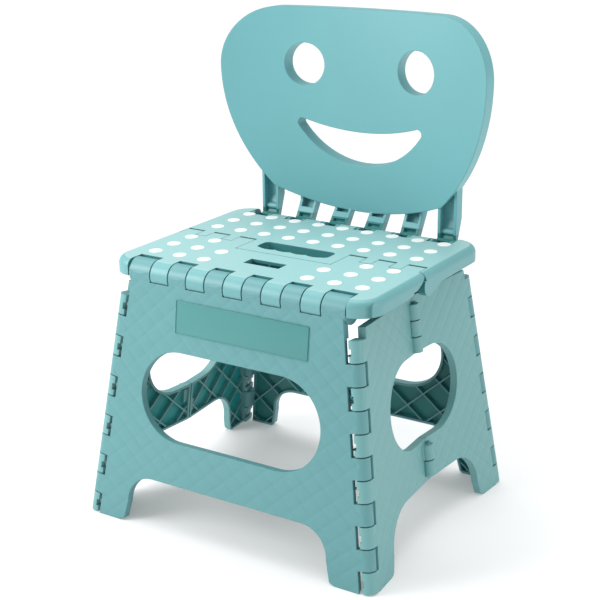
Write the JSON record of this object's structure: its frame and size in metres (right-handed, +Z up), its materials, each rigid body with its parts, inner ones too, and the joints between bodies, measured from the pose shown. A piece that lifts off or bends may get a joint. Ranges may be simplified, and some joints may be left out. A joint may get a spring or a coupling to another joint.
{
  "type": "folding stool with backrest",
  "caption": "Plastic folding stool with a low backrest, holed leg and side panels, a seat hinged in the middle with a handle slot, and raised round grip dots.",
  "frame": {"origin": "middle of the footprint on the floor", "axes": "+X to the sitter's left as seen from the front, that is to the viewer's right; +Y from the front leg to the backrest; +Z up"},
  "size_m": [0.3416, 0.2902, 0.5],
  "materials": {
    "leg_panel": "satin injection moulded plastic with a fine relief",
    "backrest": "satin injection moulded plastic with a fine relief",
    "side_panel": "satin injection moulded plastic with a fine relief",
    "seat_panel": "satin injection moulded plastic",
    "grip_dot": "smooth white",
    "bare_label": "smooth, bare",
    "steel_rod": "drawn wire"
  },
  "bodies": {
    "rear_frame": {"rear_leg_panel": "leg_panel", "backrest": "backrest", "rear_seat_rod": "steel_rod", "rear_left_corner_rod": "steel_rod", "rear_right_corner_rod": "steel_rod"},
    "front_leg": {"front_leg_panel": "leg_panel", "label_plate": "bare_label", "front_seat_rod": "steel_rod", "front_left_corner_rod": "steel_rod", "front_right_corner_rod": "steel_rod"},
    "right_side_rear": {"right_side_rear_half": "side_panel", "right_upper_side_rod": "steel_rod", "right_lower_side_rod": "steel_rod"},
    "right_side_front": {"right_side_front_half": "side_panel"},
    "left_side_rear": {"left_side_rear_half": "side_panel", "left_upper_side_rod": "steel_rod", "left_lower_side_rod": "steel_rod"},
    "left_side_front": {"left_side_front_half": "side_panel"},
    "front_seat": {"front_seat_panel": "seat_panel", "front_seat_dots": "grip_dot"},
    "rear_seat": {"rear_seat_panel": "seat_panel", "rear_seat_dots": "grip_dot", "left_centre_rod": "steel_rod", "right_centre_rod": "steel_rod"}
  },
  "joints": [
    {"name": "rear_right_corner_hinge", "type": "hinge", "parent": "rear_frame", "child": "right_side_rear", "pos_m": [0.14695, 0.12351, 0.11815], "axis": [0.1337, 0.1124, -0.9846], "range_deg": [0, 78]},
    {"name": "right_side_hinge", "type": "hinge", "parent": "right_side_rear", "child": "right_side_front", "pos_m": [0.14685, 0, 0.11891], "axis": [-0.1346, 0, 0.9909], "range_deg": [0, 154.6]},
    {"name": "front_right_corner_hinge", "type": "hinge", "parent": "right_side_front", "child": "front_leg", "pos_m": [0.14695, -0.12351, 0.11815], "axis": [0.1337, -0.1124, -0.9846], "range_deg": [0, 78]},
    {"name": "front_left_corner_hinge", "type": "hinge", "parent": "front_leg", "child": "left_side_front", "pos_m": [-0.14695, -0.12351, 0.11815], "axis": [-0.1337, -0.1124, -0.9846], "range_deg": [0, 78]},
    {"name": "rear_left_corner_hinge", "type": "hinge", "parent": "rear_frame", "child": "left_side_rear", "pos_m": [-0.14695, 0.12351, 0.11815], "axis": [0.1337, -0.1124, 0.9846], "range_deg": [0, 78]},
    {"name": "rear_seat_hinge", "type": "hinge", "parent": "rear_frame", "child": "rear_seat", "pos_m": [0, 0.103, 0.261], "axis": [-1, 0, 0], "range_deg": [0, 74.4]},
    {"name": "front_seat_hinge", "type": "hinge", "parent": "front_leg", "child": "front_seat", "pos_m": [0, -0.103, 0.261], "axis": [1, 0, 0], "range_deg": [0, 74.4]}
  ],
  "couplings": [
    {"joint": "right_side_hinge", "follows": "rear_right_corner_hinge", "ratio": 1.981},
    {"joint": "front_right_corner_hinge", "follows": "rear_right_corner_hinge", "ratio": 1},
    {"joint": "front_left_corner_hinge", "follows": "rear_right_corner_hinge", "ratio": 1},
    {"joint": "rear_left_corner_hinge", "follows": "rear_right_corner_hinge", "ratio": 1},
    {"joint": "rear_seat_hinge", "follows": "rear_right_corner_hinge", "ratio": 0.9535},
    {"joint": "front_seat_hinge", "follows": "rear_right_corner_hinge", "ratio": 0.9535}
  ]
}
